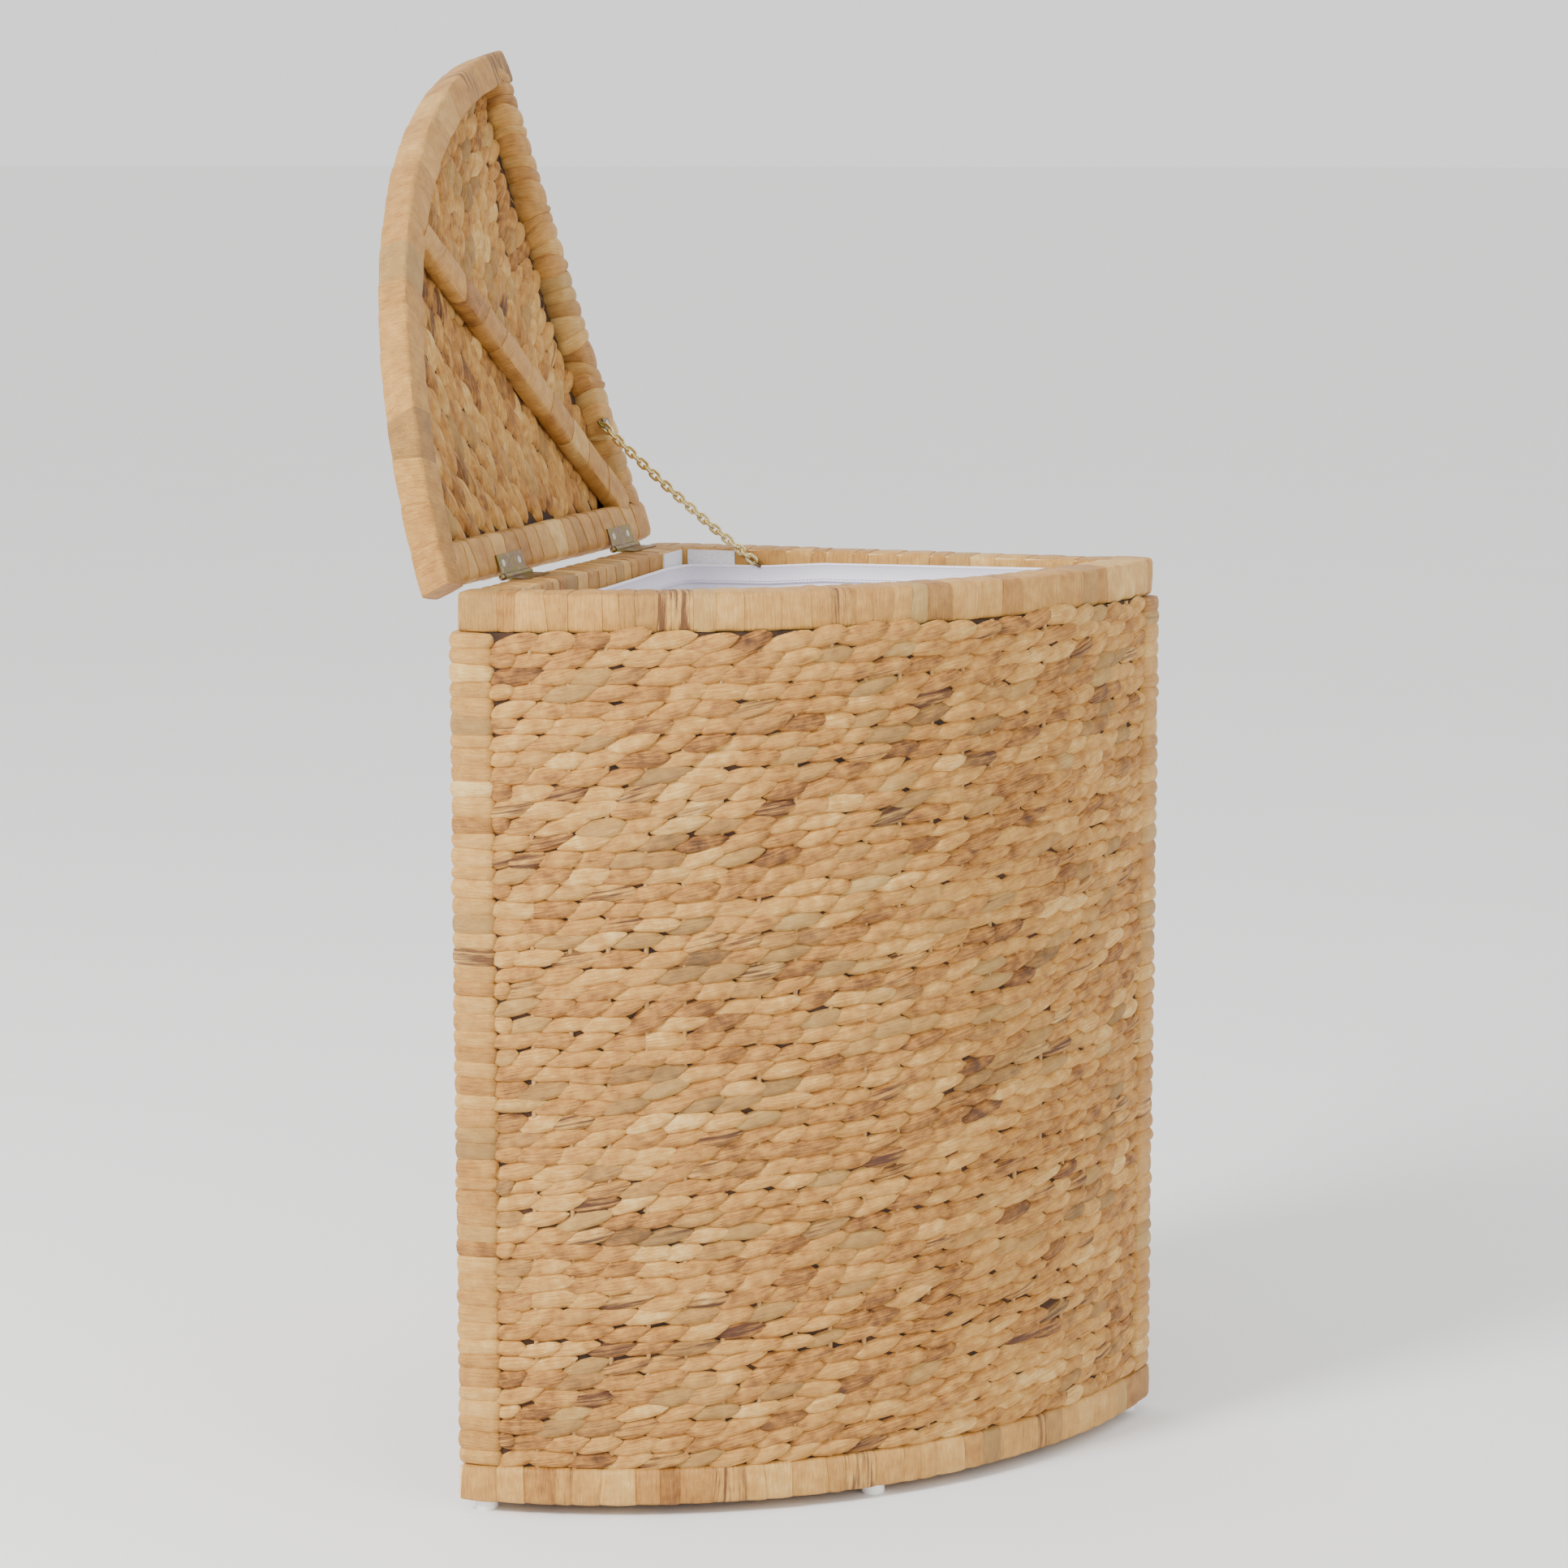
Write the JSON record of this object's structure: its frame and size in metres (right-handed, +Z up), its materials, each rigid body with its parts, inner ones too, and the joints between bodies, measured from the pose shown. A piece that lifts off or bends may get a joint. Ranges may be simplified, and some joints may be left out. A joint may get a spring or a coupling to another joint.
{
  "type": "laundry basket",
  "caption": "Corner laundry basket woven from water hyacinth, with a bowed front, a fabric liner and a hinged lid held open by a link chain.",
  "frame": {"origin": "centre of the back foot's underside, on the floor, in the basket's right-angled back corner", "axes": "+Z up; the right wall runs along +X and the left wall, which carries the hinges, along -Y; the bowed front faces +X and -Y"},
  "size_m": [0.5017, 0.37, 0.9453],
  "materials": {
    "hyacinth_weave": "twined dried water hyacinth, matt",
    "hyacinth_binding": "flat dried water hyacinth strips, matt",
    "timber": "plain sawn softwood",
    "liner_cloth": "white cotton and polyester sheeting",
    "hook_and_loop": "white hook and loop tape",
    "yellow_zinc": "zinc plate with a yellow passivate",
    "zinc_steel": "plain zinc plated steel",
    "white_plastic": "moulded, fine texture"
  },
  "bodies": {
    "basket": {"back_cross_bar": "timber", "back_foot": "white_plastic", "back_hinge_pin": "yellow_zinc", "back_hinge_rim_leaf": "yellow_zinc", "back_post": "hyacinth_binding", "bow_base_rail": "timber", "bow_base_rail_binding": "hyacinth_binding", "bow_foot": "white_plastic", "bow_panel": "hyacinth_weave", "bow_rim_rail": "timber", "bow_rim_rail_binding": "hyacinth_binding", "bow_stakes": "timber", "chain_rim_eye": "yellow_zinc", "floor_panel": "hyacinth_weave", "foot_nails": "zinc_steel", "frame_screws": "zinc_steel", "front_cross_bar": "timber", "front_hinge_pin": "yellow_zinc", "front_hinge_rim_leaf": "yellow_zinc", "hinge_rim_screws": "yellow_zinc", "hook_strips": "hook_and_loop", "left_base_rail": "timber", "left_base_rail_binding": "hyacinth_binding", "left_foot": "white_plastic", "left_panel": "hyacinth_weave", "left_post": "hyacinth_binding", "left_rim_rail": "timber", "left_rim_rail_binding": "hyacinth_binding", "left_stakes": "timber", "liner_bottom": "liner_cloth", "liner_hem": "liner_cloth", "liner_wall": "liner_cloth", "loop_strips": "hook_and_loop", "right_base_rail": "timber", "right_base_rail_binding": "hyacinth_binding", "right_foot": "white_plastic", "right_panel": "hyacinth_weave", "right_post": "hyacinth_binding", "right_rim_rail": "timber", "right_rim_rail_binding": "hyacinth_binding", "right_stakes": "timber", "stay_chain": "yellow_zinc"},
    "lid": {"back_hinge_lid_leaf": "yellow_zinc", "chain_lid_lug": "yellow_zinc", "chain_lug_screw": "yellow_zinc", "front_hinge_lid_leaf": "yellow_zinc", "hinge_lid_screws": "yellow_zinc", "lid_batten": "timber", "lid_batten_binding": "hyacinth_binding", "lid_bow_rail": "timber", "lid_bow_rail_binding": "hyacinth_binding", "lid_hinge_rail": "hyacinth_binding", "lid_panel": "hyacinth_weave", "lid_side_rail": "hyacinth_binding", "lid_stakes": "timber"}
  },
  "joints": [
    {"name": "lid_hinge", "type": "hinge", "parent": "basket", "child": "lid", "pos_m": [-0.0115, 0, 0.6015], "axis": [0, 1, 0], "range_deg": [0, 108], "deforming": ["stay_chain"]}
  ]
}
